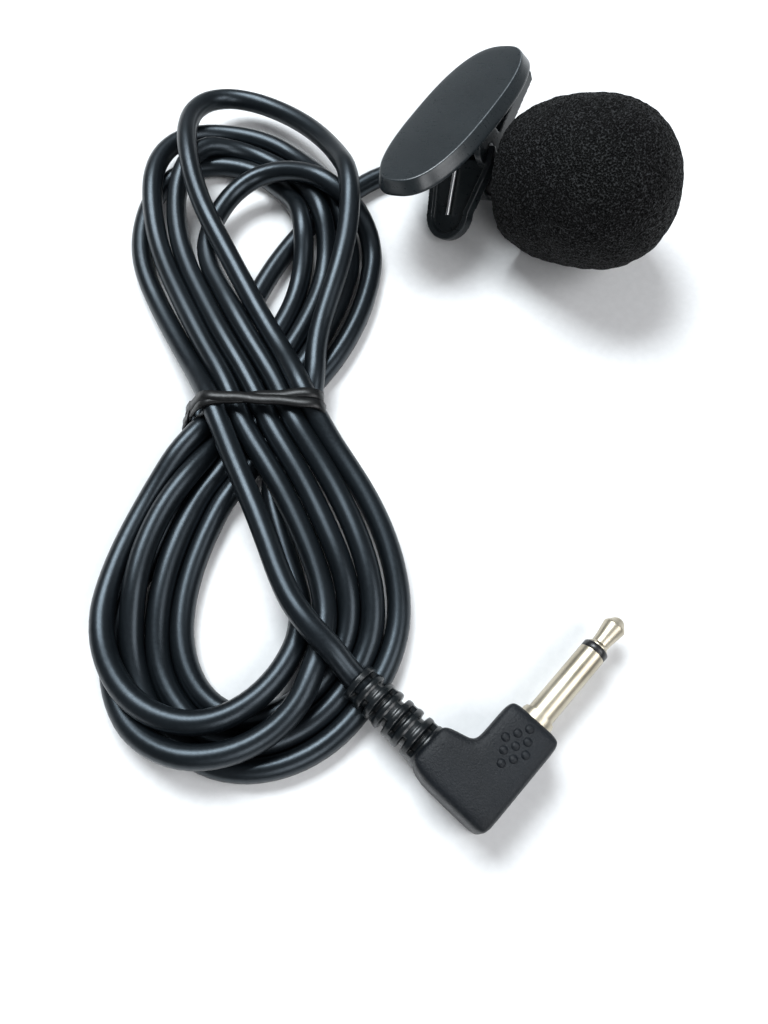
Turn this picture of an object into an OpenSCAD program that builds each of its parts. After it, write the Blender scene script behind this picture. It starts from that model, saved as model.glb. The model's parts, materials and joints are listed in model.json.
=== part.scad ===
// Lavalier microphone: foam windscreen, barrel, spring tie clip, tied cord hank and angled 3.5 mm plug.
// Millimetres, +Z up. The clip, the microphone and the hank lie on the plane z = 0. The microphone
// points along +X with its nose raised, and the jaws of the clip open along +Y.

/* [Windscreen] */
// Radius of the foam ball
foam_r = 12.1; // [11.9:0.1:12.6]
// Half length of the foam in front of its widest ring
foam_front = 12.9; // [12:0.1:13]
// Half length of the foam behind its widest ring, before it is cut off flat
foam_back = 15.8; // [15.6:0.1:17]
// Wall of foam left in front of the barrel
foam_nose = 12; // [11:0.1:12.5]

/* [Microphone] */
// How far the nose of the microphone is raised
mic_tilt = 24; // [23:0.5:24]
// Radius of the head that holds the capsule
head_r = 4.2; // [4:0.05:4.4]
// Radius of the barrel that the clip holds
barrel_r = 2.8; // [2.6:0.05:2.9]
// Distance from the hinge pin down to the microphone's axis
mic_drop = 5.4; // [5.3:0.05:5.8]

/* [Clip] */
// Length of the oval outer plate
plate_len = 35; // [33:0.5:36]
// Width of the oval outer plate
plate_w = 15.6; // [14:0.2:16]
// Height of the plate's outer face over the hinge pin
plate_h = 6.3; // [6.2:0.05:6.6]
// Length of the finger tab from the hinge pin
tab_len = 14.4; // [13:0.1:14.4]
// Angle of the finger tab below the plate
tab_angle = 42.5; // [40:0.5:42.5]
// Diameter of the steel hinge pin
pin_d = 1.2; // [1:0.1:1.3]

/* [Cord] */
// Diameter of the cord
cord_d = 3.2; // [3:0.1:3.2]
// Height of the tied hank of cord
hank_h = 7.6; // [7:0.1:9]

/* [Plug] */
// Diameter of the plug's sleeve
plug_d = 3.5; // [3.5:0.01:3.5]
// Length of the plug from its shoulder to its nose
plug_len = 16.6; // [16:0.1:17]
// Width of each arm of the angled body
body_w = 7.6; // [7.2:0.1:7.8]
// Thickness of the angled body
body_t = 8; // [7.8:0.1:8]

/* [Hidden] */
$fn = 96;

// Gap between parts that move on each other, and between parts that only lie close together
run_gap = 0.05;
lie_gap = 0.2;

// Microphone, measured along its axis from the hinge pin
ball_a = 20.8;
foam_power = 2.3;
foam_a = 9.5;
head_a0 = 7.6;
head_a1 = ball_a + foam_front - foam_nose;
barrel_a0 = -4;
relief_a0 = -7.5;
head_wall = 0.7;
can_r = 3;
can_len = 5;
can_a0 = head_a1 - 1.2 - can_len;

// Where the hinge pin lies: the foam's long back half decides how high its widest ring stands
pin_r = pin_d / 2;
pin_x = -12.33;
ball_power = foam_power / (foam_power - 1);
ball_across = pow(foam_r * cos(mic_tilt), ball_power);
ball_along = pow(foam_back * sin(mic_tilt), ball_power);
ball_z = pow(ball_across + ball_along, 1 / ball_power);
pin_z = ball_z - ball_a * sin(mic_tilt) + mic_drop * cos(mic_tilt);

// Clip, measured along the pin from its middle
plate_t = 1.3;
skirt_h = 2.3;
skirt_w = 1;
half_w = 5.2;
ear_in = 4;
ear_r = 3;
lug_in = 2.8;
lug_out = 3.85;
lug_r = 1.5;
tab_half = 4.9;
tab_end = 4;
tab_rim = 1.3;
tab_under = 0.5;
ring_wall = 0.8;
ring_a0 = -1.5;
ring_a1 = 4.4;
well_r = 2.15;
wire_d = 0.6;
coil_r = 1;
coil_pitch = 0.56;
jaw_slope = 18;
tooth_pitch = 1.2;
tooth_count = 5;

// Hank: its place, its turn from the microphone's axis, and its two lobes
hank_at = [-14.69, -53.1];
hank_turn = 32;
waist_half = 9.5;
tie_w = 2;
tie_t = 0.5;

// Route of the cord from the strain relief to the hank
cord_route = [
    [-17.3, 0, 1.83], [-19, -0.2, 1.65], [-20.6, -0.9, 1.6], [-22, -2.2, 1.6],
    [-23.2, -3.9, 1.6], [-24.4, -5.8, 1.6], [-25.6, -7.8, 1.6]
];
cord_sides = 8;

// Plug: the crossing of its two arms, the way its pin points, and its lengths from that crossing
plug_at = [37.51, -82.9];
plug_turn = 79;
plug_r = plug_d / 2;
face_x = 10.9;
shoulder_len = 1.2;
shoulder_r = 2.3;
sleeve_x = face_x + shoulder_len;
nose_x = sleeve_x + plug_len;
tip_len = 5;
band_len = 1;
tip_x = nose_x - tip_len;
band_x = tip_x - band_len;
stem_r = 1.5;
liner_r = 1.15;
rod_r = 0.6;
boot_y0 = 7.4;
boot_y1 = 19.4;
boot_r0 = 2.95;
boot_r1 = 2.5;
boot_ribs = 7;
dot_rows = [1, 2, 3, 2, 1];
dot_pitch = 1.5;

// ---- frames ----

// The hinge pin's frame: X along the pin, Y towards the jaws, Z towards the outer plate
module on_pin() {
    translate([pin_x, 0, pin_z]) rotate([0, -mic_tilt, 0]) children();
}

// The microphone's axis stands up as Z, so that turned shapes are drawn upright
module on_mic() {
    on_pin() translate([0, 0, -mic_drop]) rotate([0, 90, 0]) children();
}

module on_hank() {
    translate([hank_at[0], hank_at[1], 0]) rotate([0, 0, hank_turn]) children();
}

// The plug's frame: X along the plug, Y along the boot, both from the crossing of the arms
module on_plug() {
    translate([plug_at[0], plug_at[1], body_t / 2]) rotate([0, 0, plug_turn]) children();
}

// A turned shape along the plug's X
module along_plug() {
    on_plug() rotate([0, 90, 0]) children();
}

// A turned shape along the boot's Y
module along_boot() {
    on_plug() rotate([-90, 0, 0]) children();
}

module tube(r_out, r_in, z0, z1) {
    rotate_extrude() translate([r_in, z0]) square([r_out - r_in, z1 - z0]);
}

// ---- microphone ----

function foam_radius(a) = let (reach = a < ball_a ? foam_back : foam_front)
    foam_r * pow(max(0, 1 - pow(abs(a - ball_a) / reach, foam_power)), 1 / foam_power);

module foam_windscreen() {
    steps = 40;
    lip = 0.7;
    span = ball_a + foam_front - foam_a - lip;
    // Equal steps of angle would crowd the back, so the steps close up towards the nose instead
    outline = [for (i = [0:steps]) let (a = foam_a + lip + span * sin(90 * i / steps)) [foam_radius(a), a]];
    bore = head_r + lie_gap / 2;
    bore_end = head_a1 + 0.4;
    inside = [[0, bore_end], [bore, bore_end], [bore, foam_a], [foam_radius(foam_a + lip) - lip, foam_a]];
    color("#1b1b1d") on_mic() rotate_extrude() polygon(concat(inside, outline));
}

module mic_head() {
    inner = head_r - head_wall;
    color("#222326") on_mic() difference() {
        union() {
            tube(head_r, 0, head_a0 + 0.6, head_a1);
            translate([0, 0, head_a0]) cylinder(0.6, head_r - 0.6, head_r);
        }
        translate([0, 0, head_a0 + 1.4]) cylinder(head_a1 - head_a0, inner, inner);
        translate([0, 0, head_a0 - 1]) cylinder(4, 1.9, 1.9);
    }
}

module mic_grille() {
    rings = [[1, 0], [6, 1.1], [12, 2.2]];
    inner = head_r - head_wall;
    color("#8d9094") on_mic() difference() {
        translate([0, 0, head_a1 - 0.6]) cylinder(0.4, inner, inner);
        for (ring = rings) {
            for (i = [0:ring[0] - 1]) {
                rotate([0, 0, 360 * i / ring[0]])
                    translate([ring[1], 0, head_a1 - 1]) cylinder(2, 0.3, 0.3, $fn = 24);
            }
        }
    }
}

module mic_barrel() {
    flange = 0.7;
    color("#222326") on_mic() difference() {
        union() {
            tube(barrel_r, 0, barrel_a0 + 0.5, head_a0 - flange);
            translate([0, 0, barrel_a0]) cylinder(0.5, barrel_r - 0.5, barrel_r);
            translate([0, 0, head_a0 - flange]) cylinder(flange, barrel_r, head_r - 0.6);
            cylinder(head_a0 + 1.4, 1.85, 1.85);
        }
        translate([0, 0, barrel_a0 - 1]) cylinder(20, 1.5, 1.5);
    }
}

module mic_strain_relief() {
    small = 1.85;
    color("#1d1d1f") on_mic() difference() {
        union() {
            translate([0, 0, relief_a0]) cylinder(barrel_a0 - relief_a0, small, small + 0.25);
            for (i = [0:2]) {
                translate([0, 0, relief_a0 + 0.5 + i]) cylinder(0.4, small + 0.12, small + 0.12);
            }
        }
        translate([0, 0, relief_a0 - 1]) cylinder(10, 1.5, 1.5);
    }
    // The cord's end, held inside the relief and the barrel
    color("#151517") on_mic() translate([0, 0, relief_a0]) cylinder(head_a0 - relief_a0, 1.5, 1.5);
}

module capsule_can() {
    color("#c9cbce") on_mic() difference() {
        translate([0, 0, can_a0]) cylinder(can_len, can_r, can_r);
        translate([0, 0, can_a0 - 1]) cylinder(1.4, can_r - 0.3, can_r - 0.3);
        translate([0, 0, can_a0 + can_len - 0.3]) cylinder(1, 0.9, 0.9);
    }
}

module capsule_holder() {
    color("#3a3a3d") on_mic() tube(head_r - head_wall, can_r, can_a0 + 0.6, can_a0 + can_len);
}

module capsule_board() {
    pad_r = 0.55;
    color("#3f7a4a") on_mic() translate([0, 0, can_a0 - 0.4]) cylinder(0.8, can_r - 0.3, can_r - 0.3);
    color("silver") on_mic() for (side = [-1, 1]) {
        translate([0, side * 1.1, can_a0 - 0.65]) cylinder(0.25, pad_r, pad_r, $fn = 24);
    }
}

module capsule_leads() {
    color("#b03a2e") on_mic() for (side = [-1, 1]) {
        translate([0, side * 0.9, head_a0]) cylinder(can_a0 - 0.65 - head_a0, 0.3, 0.3, $fn = 24);
    }
}

// ---- clip ----

function oval(half_x, half_y, power = 2.6, count = 96) = [
    for (i = [0:count - 1]) let (c = cos(360 * i / count), s = sin(360 * i / count))
        [half_x * sign(c) * pow(abs(c), 2 / power), half_y * sign(s) * pow(abs(s), 2 / power)]
];

// One row of saw teeth in the Y-Z plane, drawn across the jaw; way is 1 for teeth that point up
module teeth(y0, z, way, half) {
    depth = 0.7;
    for (i = [0:tooth_count - 1]) {
        y = y0 + i * tooth_pitch;
        translate([-half, 0, 0]) rotate([90, 0, 90]) linear_extrude(2 * half)
            polygon([[y, z], [y + tooth_pitch, z], [y + tooth_pitch / 2, z + way * depth]]);
    }
}

module plate_lug(side) {
    inner = side > 0 ? lug_in : -lug_out;
    translate([inner, 0, 0]) rotate([90, 0, 90]) linear_extrude(lug_out - lug_in) {
        circle(lug_r);
        polygon([[-lug_r, 0], [lug_r, 0], [3, plate_h - plate_t], [-3, plate_h - plate_t]]);
    }
}

module clip_plate() {
    deep = plate_h - skirt_h;
    under = plate_h - plate_t;
    color("#2b2f33") on_pin() difference() {
        union() {
            difference() {
                translate([0, 0, deep]) linear_extrude(skirt_h) polygon(oval(plate_w / 2, plate_len / 2));
                translate([0, 0, deep - 1]) linear_extrude(skirt_h - plate_t + 1)
                    polygon(oval(plate_w / 2 - skirt_w, plate_len / 2 - skirt_w));
            }
            plate_lug(1);
            plate_lug(-1);
            teeth(9.3, under, -1, 3.6);
        }
        translate([-10, 0, 0]) rotate([0, 90, 0]) cylinder(20, pin_r + run_gap, pin_r + run_gap);
    }
}

// Side outline of the lower jaw in the Y-Z plane
function jaw_rise(y) = -2.75 + (y - 1) * tan(jaw_slope);

module jaw_block() {
    reach = 15.6;
    outline = [
        [-2, -2.75], [1, -2.75], [reach, jaw_rise(reach)], [reach + 0.8, jaw_rise(reach) + 0.9],
        [reach, jaw_rise(reach) + 1.2], [9.2, 2.3], [3, 0.4], [-2, 0.4]
    ];
    pocket = [[2.4, -1.7], [14.6, 2.25], [14.6, 6], [2.4, 6]];
    difference() {
        translate([-half_w, 0, 0]) rotate([90, 0, 90]) linear_extrude(2 * half_w) polygon(outline);
        translate([-ear_in, 0, 0]) rotate([90, 0, 90]) linear_extrude(2 * ear_in) polygon(pocket);
        // The jaw narrows to a rounded tip
        translate([0, 0, -10]) linear_extrude(30) difference() {
            translate([-10, 8]) square([20, 20]);
            translate([0, 8]) circle(8.4);
            translate([-10, 0]) square([20, 10]);
        }
    }
    teeth(9.6, 2.7, 1, ear_in - 0.1);
    translate([-ear_in, 9.4, 0]) rotate([90, 0, 90]) linear_extrude(2 * ear_in)
        polygon([[0, 0.4], [0, 2.71], [6, 2.71], [6, 2.2]]);
}

// Plan outline of the tab, which tapers to a rounded end and flares on one side, drawn in by inset
// and run on past its root
module tab_plan(inset, past) {
    end_r = tab_end - inset;
    root = tab_half - inset;
    flare = root + 1.7;
    back = tab_len - tab_end;
    translate([0, -back]) circle(end_r);
    polygon([
        [-root, past], [flare, past], [flare, -2.5], [end_r, 0.4 - back], [-end_r, 0.4 - back], [-root, 0]
    ]);
}

module finger_tab() {
    rotate([tab_angle, 0, 0]) difference() {
        translate([0, 0, -tab_under]) linear_extrude(tab_under + tab_rim) tab_plan(0, 0);
        translate([0, 0, tab_under]) linear_extrude(tab_rim + 2) tab_plan(1, 5);
    }
}

module clip_inner_half() {
    ear_w = half_w - ear_in;
    color("#26292c") on_pin() difference() {
        union() {
            jaw_block();
            finger_tab();
            for (x = [-half_w, ear_in]) {
                translate([x, 0, 0]) rotate([0, 90, 0]) cylinder(ear_w, ear_r, ear_r);
            }
            translate([ring_a0, 0, -mic_drop]) rotate([0, 90, 0])
                cylinder(ring_a1 - ring_a0, barrel_r + ring_wall, barrel_r + ring_wall);
        }
        // Bore for the barrel, the well around the spring, and the pin's hole
        translate([-12, 0, -mic_drop]) rotate([0, 90, 0])
            cylinder(24, barrel_r + run_gap, barrel_r + run_gap);
        translate([-ear_in, 0, 0]) rotate([0, 90, 0]) cylinder(2 * ear_in, well_r, well_r);
        translate([-ear_in, -4, 0.2]) cube([2 * ear_in, 8, 6]);
        translate([-10, 0, 0]) rotate([0, 90, 0]) cylinder(20, pin_r, pin_r);
    }
}

module hinge_pin() {
    color("#b9bcc0") on_pin() translate([-half_w, 0, 0]) rotate([0, 90, 0])
        cylinder(2 * half_w + 0.1, pin_r, pin_r);
}

// Close-wound turns of wire about the pin, from x0 onwards
module coil_turns(x0, turns) {
    translate([x0, 0, 0]) rotate([0, 90, 0]) rotate_extrude() {
        for (i = [0:turns - 1]) {
            translate([coil_r, wire_d / 2 + i * coil_pitch]) circle(wire_d / 2, $fn = 32);
        }
    }
}

module clip_spring() {
    leg = 10.6;
    color("#c4c7cb") on_pin() {
        coil_turns(-2.6, 6);
        rotate([tab_angle, 0, 0]) translate([0, 0, coil_r]) rotate([90, 0, 0])
            cylinder(leg, wire_d / 2, wire_d / 2, $fn = 32);
    }
}

module spring_plate_leg() {
    lift = 21;
    leg = 9;
    color("#c4c7cb") on_pin() {
        coil_turns(1.6, 2);
        translate([2.25, 0, 0]) rotate([-lift, 0, 0]) translate([0, 0, coil_r]) rotate([90, 0, 0])
            cylinder(leg, wire_d / 2, wire_d / 2, $fn = 32);
    }
}

// ---- cord ----

// Points of one ring across the route: side is level, and the ring stands upright on the route
function unit(v) = v / norm(v);
function heading(route, i) = unit(route[min(i + 1, len(route) - 1)] - route[max(i - 1, 0)]);
function ring(route, i, r, sides) = let (
        ahead = heading(route, i),
        side = r * unit(cross(ahead, [0, 0, 1])),
        up = cross(side, ahead)
    ) [for (k = [0:sides - 1]) let (t = 360 * (k + 0.5) / sides) route[i] + cos(t) * side + sin(t) * up];

module swept_cord(route, r, sides) {
    count = len(route);
    points = [for (i = [0:count - 1]) each ring(route, i, r, sides)];
    walls = [
        for (i = [0:count - 2]) for (k = [0:sides - 1]) let (n = (k + 1) % sides)
            [i * sides + k, i * sides + n, (i + 1) * sides + n, (i + 1) * sides + k]
    ];
    first = [for (k = [0:sides - 1]) sides - 1 - k];
    last = [for (k = [0:sides - 1]) (count - 1) * sides + k];
    polyhedron(points, concat([first], walls, [last]), convexity = 4);
}

module mic_cable() {
    color("#1c1d20") swept_cord(cord_route, cord_d / 2, cord_sides);
}

// Outline of the hank: two lobes drawn in to the waist, with the open eye of each
module hank_outline() {
    difference() {
        union() {
            hull() {
                translate([0, -28.5]) circle(20.3);
                translate([-2, -34]) circle(18.2);
                circle(waist_half, $fn = 48);
            }
            hull() {
                translate([-3.5, 37.2]) circle(20.3);
                translate([-6, 44]) circle(16.5);
                circle(waist_half, $fn = 48);
            }
        }
        hull() {
            translate([-2.4, -35]) circle(6.4);
            translate([-2.8, -19.5]) circle(1.4, $fn = 32);
        }
        hull() {
            translate([-2.7, 37]) circle(4.4);
            translate([-0.6, 23]) circle(1.2, $fn = 32);
        }
    }
}

module tie_section(inset) {
    half = waist_half + 0.3 - inset;
    top = hank_h - inset;
    translate([-half, inset]) square([2 * half, top - inset]);
}

module twist_tie() {
    color("#141416") on_hank() translate([0, tie_w / 2, 0]) rotate([90, 0, 0]) linear_extrude(tie_w)
        difference() {
            tie_section(0);
            tie_section(tie_t);
        }
}

module cable_hank() {
    wide = 30;
    boot_room = boot_r1 + 0.2;
    color("#1c1d20") difference() {
        on_hank() difference() {
            linear_extrude(hank_h) hank_outline();
            translate([0, tie_w / 2, 0]) rotate([90, 0, 0]) linear_extrude(tie_w) difference() {
                translate([-wide, -1]) square([2 * wide, hank_h + 2]);
                tie_section(tie_t);
            }
        }
        // The boot's end lies in among the strands
        along_boot() cylinder(boot_y1 + 0.2, boot_room, boot_room);
    }
}

module plug_cable() {
    stripped_y = 2.6;
    end_y = boot_y1 + 1.4;
    color("#1c1d20") along_boot() translate([0, 0, stripped_y]) cylinder(end_y - stripped_y, cord_d / 2, cord_d / 2);
}

// ---- plug ----

module plug_boot() {
    rib = (boot_y1 - boot_y0) / (boot_ribs + 0.5);
    collar = rib * 0.5;
    color("#18191b") along_boot() difference() {
        union() {
            translate([0, 0, boot_y0]) cylinder(boot_y1 - boot_y0, boot_r0 - 0.6, boot_r1 - 0.5);
            for (i = [0:boot_ribs - 1]) {
                t = i / boot_ribs;
                r = boot_r0 + (boot_r1 - boot_r0) * t;
                translate([0, 0, boot_y0 + i * rib]) cylinder(rib * 0.55, r, r);
            }
            translate([0, 0, boot_y1 - collar]) cylinder(collar, boot_r1, boot_r1 - 0.2);
            // Root of the boot, moulded into the body
            translate([0, 0, 4.6]) cylinder(boot_y0 - 4.6, 2, 2);
        }
        translate([0, 0, 4]) cylinder(20, cord_d / 2, cord_d / 2);
    }
}

// Plan outline of the angled body, drawn in by inset all round
module body_plan(inset) {
    half = body_w / 2 - inset;
    heel = -body_w / 2 + 0.2 + inset;
    neck = boot_r0 - inset;
    polygon([
        [heel + 0.8, -half], [face_x - inset * 0.3, -half], [face_x - inset * 0.3, half],
        [half + 0.2, half], [half, half + 0.2], [half, 4.6], [neck, boot_y0], [-neck, boot_y0], [heel, 5.2],
        [heel, 0.8 - half]
    ]);
}

module plug_body() {
    edge = 1.1;
    color("#202225") difference() {
        on_plug() {
            translate([0, 0, edge - body_t / 2]) linear_extrude(body_t - 2 * edge) body_plan(0);
            translate([0, 0, -body_t / 2]) linear_extrude(body_t) body_plan(edge);
            for (z = [0.35, 0.7]) {
                translate([0, 0, z - body_t / 2]) linear_extrude(body_t - 2 * z) body_plan(edge - z);
            }
            translate([6.6, 0, body_t / 2 - 0.3]) grip_dots();
        }
        along_plug() translate([0, 0, -2.2]) cylinder(20, shoulder_r, shoulder_r);
        along_boot() cylinder(10, 2, 2);
    }
}

// Raised dots in a diamond, row by row
module grip_dots() {
    rows = len(dot_rows);
    for (i = [0:rows - 1]) {
        for (k = [0:dot_rows[i] - 1]) {
            x = (i - (rows - 1) / 2) * dot_pitch * 0.87;
            y = (k - (dot_rows[i] - 1) / 2) * dot_pitch;
            translate([x, y, 0]) cylinder(0.45, 0.58, 0.48, $fn = 24);
        }
    }
}

module plug_shoulder() {
    color("#c8c2b4") along_plug() {
        tube(shoulder_r, stem_r, face_x - 1.6, face_x);
        tube(shoulder_r - 0.1, stem_r, face_x, sleeve_x - 0.3);
        tube(shoulder_r - 0.2, stem_r, sleeve_x - 0.3, sleeve_x);
    }
}

module plug_sleeve() {
    color("#c9c1ae") along_plug() {
        tube(stem_r, liner_r, 5.8, sleeve_x);
        tube(plug_r, liner_r, sleeve_x, band_x);
    }
}

module plug_ring() {
    color("#111113") along_plug() tube(plug_r - 0.2, rod_r, band_x, tip_x);
}

module plug_liner() {
    color("#e8e4d8") along_plug() tube(liner_r, rod_r, 4.6, band_x);
}

module plug_tip() {
    step = 0.2;
    neck_r = 1.12;
    bulge_r = 1.53;
    color("#c9c1ae") along_plug() {
        translate([0, 0, 3.4]) cylinder(tip_x - 3.4, rod_r, rod_r);
        translate([0, 0, tip_x]) rotate_extrude() polygon([
            [0, 0], [bulge_r - 0.1, 0], [bulge_r - 0.1, step], [neck_r, step + 0.4], [neck_r + 0.08, 1.6],
            [bulge_r - 0.08, 3.2], [bulge_r, 3.65], [bulge_r - 0.04, 3.85],
            [bulge_r - 0.18, 4.05], [0.85, tip_len - 0.25], [0.55, tip_len], [0, tip_len]
        ]);
    }
}

module tip_lug() {
    color("#c9c1ae") on_plug() difference() {
        union() {
            translate([-1, 0.1, -0.5]) cube([4.4, 0.4, 1]);
            translate([3.2, 0, 0]) rotate([0, 90, 0]) cylinder(0.5, 0.9, 0.9);
        }
        translate([3, 0, 0]) rotate([0, 90, 0]) cylinder(1, rod_r, rod_r);
    }
}

module sleeve_lug() {
    color("#c9c1ae") on_plug() {
        translate([5.3, 0, 0]) rotate([0, 90, 0]) tube(2.2, liner_r, 0, 0.5);
        translate([-1, -2, -0.5]) cube([6.4, 0.4, 1]);
    }
}

module plug_leads() {
    color("#b03a2e") on_plug() translate([0.3, 2.6, 0]) rotate([90, 0, 0]) cylinder(2.1, 0.3, 0.3, $fn = 24);
    color("#d8b46a") on_plug() translate([-0.9, 2.6, 0]) rotate([90, 0, 0]) cylinder(4.2, 0.3, 0.3, $fn = 24);
}

foam_windscreen();
mic_head();
mic_grille();
mic_barrel();
mic_strain_relief();
capsule_can();
capsule_holder();
capsule_board();
capsule_leads();
clip_plate();
clip_inner_half();
hinge_pin();
clip_spring();
spring_plate_leg();
mic_cable();
cable_hank();
twist_tie();
plug_cable();
plug_boot();
plug_body();
plug_shoulder();
plug_sleeve();
plug_ring();
plug_tip();
plug_liner();
tip_lug();
sleeve_lug();
plug_leads();
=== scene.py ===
import json
import math

import bmesh
import bpy
import numpy as np
from mathutils import Matrix, Vector, noise


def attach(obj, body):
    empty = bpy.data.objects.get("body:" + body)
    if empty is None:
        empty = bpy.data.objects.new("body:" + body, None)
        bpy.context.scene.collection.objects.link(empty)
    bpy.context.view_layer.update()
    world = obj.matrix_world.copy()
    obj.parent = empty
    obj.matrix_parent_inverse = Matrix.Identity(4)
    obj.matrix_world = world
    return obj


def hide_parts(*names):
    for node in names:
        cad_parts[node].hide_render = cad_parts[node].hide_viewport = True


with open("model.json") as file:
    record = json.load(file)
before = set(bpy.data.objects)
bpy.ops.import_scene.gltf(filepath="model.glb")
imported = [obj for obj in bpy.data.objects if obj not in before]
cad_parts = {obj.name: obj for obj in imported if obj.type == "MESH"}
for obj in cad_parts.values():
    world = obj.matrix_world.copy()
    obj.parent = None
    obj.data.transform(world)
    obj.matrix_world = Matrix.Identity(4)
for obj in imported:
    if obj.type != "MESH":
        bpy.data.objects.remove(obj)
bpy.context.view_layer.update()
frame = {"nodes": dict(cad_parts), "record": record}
NODES = frame["nodes"]
MM = 0.001
scene = bpy.context.scene

# ---------------------------------------------------------------- places, as in part.scad (mm)
MIC_TILT = math.radians(24)
FOAM_R, FOAM_FRONT, FOAM_BACK, FOAM_POWER = 12.1, 12.9, 15.8, 2.3
# The ball's middle and its flat back, along the microphone's axis from the hinge pin
BALL_A, FOAM_A = 20.8, 9.5
MIC_DROP = 5.4
PIN_X = -12.33
BALL_POWER = FOAM_POWER / (FOAM_POWER - 1)
BALL_ACROSS = (FOAM_R * math.cos(MIC_TILT)) ** BALL_POWER
BALL_ALONG = (FOAM_BACK * math.sin(MIC_TILT)) ** BALL_POWER
BALL_Z = (BALL_ACROSS + BALL_ALONG) ** (1 / BALL_POWER)
PIN_Z = BALL_Z - BALL_A * math.sin(MIC_TILT) + MIC_DROP * math.cos(MIC_TILT)
HANK_AT = np.array([-14.69, -53.1, 0.0])
HANK_TURN = math.radians(32)
PLUG_AT = np.array([37.51, -82.9, 4.0])
PLUG_TURN = math.radians(79)
CORD_D = 3.2


def turn_z(points, angle, at):
    """Points turned about Z and moved, in mm."""
    p = np.asarray(points, float)
    c, s = math.cos(angle), math.sin(angle)
    return np.column_stack([c * p[:, 0] - s * p[:, 1], s * p[:, 0] + c * p[:, 1], p[:, 2]]) + at


def on_hank(points):
    return turn_z(points, HANK_TURN, HANK_AT)


def on_plug(points):
    return turn_z(points, PLUG_TURN, PLUG_AT)


def on_pin(points):
    """Points with x along the hinge pin, y towards the jaws and z towards the outer plate."""
    p = np.asarray(points, float)
    c, s = math.cos(MIC_TILT), math.sin(MIC_TILT)
    return np.column_stack([PIN_X + p[:, 0] * c - p[:, 2] * s, p[:, 1], PIN_Z + p[:, 0] * s + p[:, 2] * c])


def on_mic(points):
    """Points (x, y, a): a runs along the microphone's axis from the hinge pin, x points down across it."""
    p = np.asarray(points, float)
    return on_pin(np.column_stack([p[:, 2], p[:, 1], -p[:, 0] - MIC_DROP]))


# ---------------------------------------------------------------- camera
# The table is square to the photograph in this turned frame, whose origin is where the camera looks
VIEW_TURN = math.radians(32)
PIN_IN_VIEW = (12.5, 58.9)
CAMERA_AT = (0, -44.5, 105.7)


def from_view(x, y, z):
    """A point of the photograph's frame in the part's frame, in metres."""
    seen = [[x - PIN_IN_VIEW[0], y - PIN_IN_VIEW[1], z]]
    return Vector(turn_z(seen, VIEW_TURN, np.array([PIN_X, 0, 0]))[0]) * MM


def aimed(ob, at):
    """An object put at a place of the photograph's frame, looking at its origin."""
    scene.collection.objects.link(ob)
    ob.location = from_view(*at)
    ob.rotation_euler = (from_view(0, 0, 0) - ob.location).to_track_quat("-Z", "Y").to_euler()


cam_data = bpy.data.cameras.new("camera")
cam_data.sensor_fit = "HORIZONTAL"
cam_data.sensor_width = 36
cam_data.lens = 38.0
cam_data.clip_start = 0.005
cam_data.clip_end = 10
cam = bpy.data.objects.new("camera", cam_data)
aimed(cam, CAMERA_AT)
scene.camera = cam


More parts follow.
